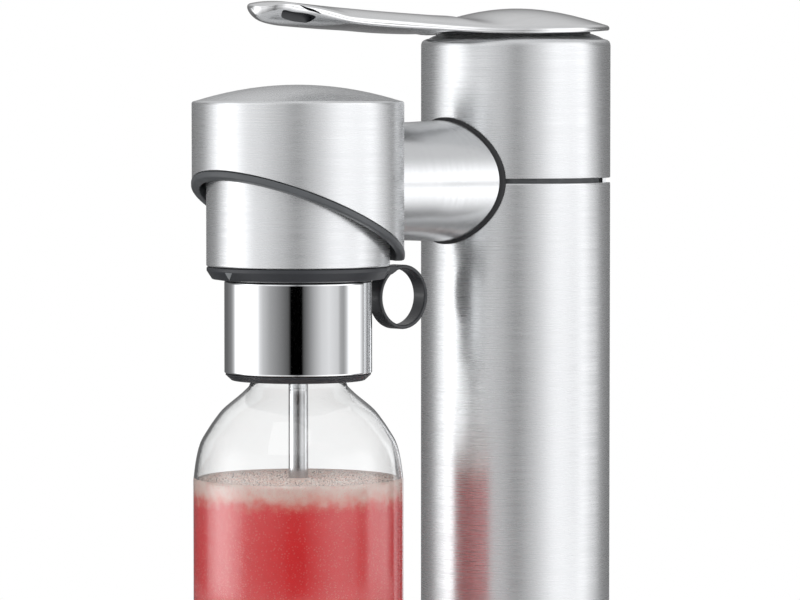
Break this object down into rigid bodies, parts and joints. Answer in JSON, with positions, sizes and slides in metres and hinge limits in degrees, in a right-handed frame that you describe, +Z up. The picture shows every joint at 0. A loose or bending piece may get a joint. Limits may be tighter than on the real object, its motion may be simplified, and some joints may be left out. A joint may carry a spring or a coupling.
{
  "type": "sparkling water maker",
  "caption": "Counter-top sparkling water maker: column with gas cylinder, lever on top, arm with tilting head, capped bottle, finger ring behind the cap and drip tray in the base.",
  "frame": {"origin": "middle of the base, on the plane of the four foot faces", "axes": "+Z up, -Y towards the head and the bottle, +X to the right seen from the front"},
  "size_m": [0.132, 0.2578, 0.4253],
  "materials": {
    "brushed_steel": "brushed round the piece, with fine level lines",
    "polished_steel": "polished",
    "chrome": "mirror bright",
    "black_plastic": "satin charcoal",
    "grey_plastic": "satin dark grey",
    "rubber": "matte",
    "cast_aluminium": "as cast",
    "cylinder_paint": "plain light grey paint",
    "brass": "turned",
    "spring_steel": "plain steel",
    "clear_plastic": "clear",
    "red_drink": "clear red drink with foam on top"
  },
  "bodies": {
    "frame": {"base_cover": "brushed_steel", "base_plate": "cast_aluminium", "base_screw_1": "spring_steel", "base_screw_2": "spring_steel", "base_screw_3": "spring_steel", "foot_front_left": "rubber", "foot_front_right": "rubber", "foot_rear_left": "rubber", "foot_rear_right": "rubber", "column_chassis": "grey_plastic", "column_lower_shell": "brushed_steel", "column_upper_shell": "brushed_steel", "deck_screw_1": "spring_steel", "deck_screw_2": "spring_steel", "deck_screw_3": "spring_steel", "valve_body": "brass", "valve_seal": "rubber", "relief_plug": "spring_steel", "gas_hose": "rubber", "lever_collar": "black_plastic", "lever_pin": "spring_steel", "arm_tube": "brushed_steel", "arm_gasket": "rubber", "arm_frame": "cast_aluminium", "arm_screw_1": "spring_steel", "arm_screw_2": "spring_steel", "arm_screw_3": "spring_steel", "arm_screw_4": "spring_steel", "head_shell": "brushed_steel", "head_liner": "grey_plastic", "tilt_axle": "brass"},
    "lever": {"lever_handle": "polished_steel", "lever_striker": "black_plastic"},
    "plunger": {"plunger": "spring_steel", "return_spring": "spring_steel"},
    "carriage": {"carriage_cup": "brushed_steel", "carriage_frame": "grey_plastic", "socket_ring": "grey_plastic", "gas_inlet": "brass", "socket_seal": "rubber"},
    "cap": {"cap_collar": "black_plastic", "cap_sleeve": "chrome", "cap_base_ring": "black_plastic", "cap_core": "grey_plastic", "cap_gasket": "rubber", "nozzle_tube": "polished_steel", "nozzle_tip": "black_plastic", "release_pin": "spring_steel"},
    "release_lever": {"release_ring": "black_plastic"},
    "vent": {"vent_stem": "spring_steel", "vent_spring": "spring_steel"},
    "bottle": {"bottle": "clear_plastic", "bottle_base": "brushed_steel", "drink": "red_drink"},
    "drip_tray": {"drip_tray": "black_plastic", "drip_grille": "brushed_steel"},
    "cylinder": {"co2_cylinder": "cylinder_paint", "cylinder_valve": "brass"},
    "rear_cover": {"rear_cover": "brushed_steel"}
  },
  "joints": [
    {"name": "lever_press", "type": "hinge", "parent": "frame", "child": "lever", "pos_m": [0, 0.09085, 0.41], "axis": [1, 0, 0], "range_deg": [0, 1.7], "stiffness_Nm_per_rad": 20, "springref_deg": -2.86},
    {"name": "plunger_travel", "type": "slide", "parent": "frame", "child": "plunger", "axis": [0, 0, -1], "range_m": [0, 0.0011], "deforming": ["return_spring"]},
    {"name": "carriage_tilt", "type": "hinge", "parent": "frame", "child": "carriage", "pos_m": [0, -0.06285, 0.3493], "axis": [-1, 0, 0], "range_deg": [0, 20]},
    {"name": "cap_release", "type": "slide", "parent": "carriage", "child": "cap", "axis": [0, 0, -1], "range_m": [0, 0.005]},
    {"name": "release_pull", "type": "hinge", "parent": "cap", "child": "release_lever", "pos_m": [0, -0.03035, 0.3117], "axis": [-1, 0, 0], "range_deg": [0, 4], "stiffness_Nm_per_rad": 0.015, "springref_deg": -11.46},
    {"name": "vent_lift", "type": "slide", "parent": "cap", "child": "vent", "axis": [0, 0, 1], "range_m": [0, 0.00136], "deforming": ["vent_spring"]},
    {"name": "bottle_unscrew", "type": "hinge", "parent": "cap", "child": "bottle", "pos_m": [0, -0.06285, 0.29], "axis": [0, 0, -1], "range_deg": [0, 450]},
    {"name": "tray_lift", "type": "slide", "parent": "frame", "child": "drip_tray", "axis": [0, 0, 1], "range_m": [0, 0.004]},
    {"name": "rear_cover_off", "type": "slide", "parent": "frame", "child": "rear_cover", "axis": [0, 1, 0], "range_m": [0, 0.08]},
    {"name": "cylinder_unscrew", "type": "hinge", "parent": "frame", "child": "cylinder", "pos_m": [0, 0.06285, 0.38], "axis": [0, 0, -1], "range_deg": [0, 1080]}
  ],
  "couplings": [
    {"joint": "plunger_travel", "follows": "lever_press", "m_per_rad": 0.028},
    {"joint": "release_pull", "follows": "vent_lift", "rad_per_m": 51.2}
  ]
}
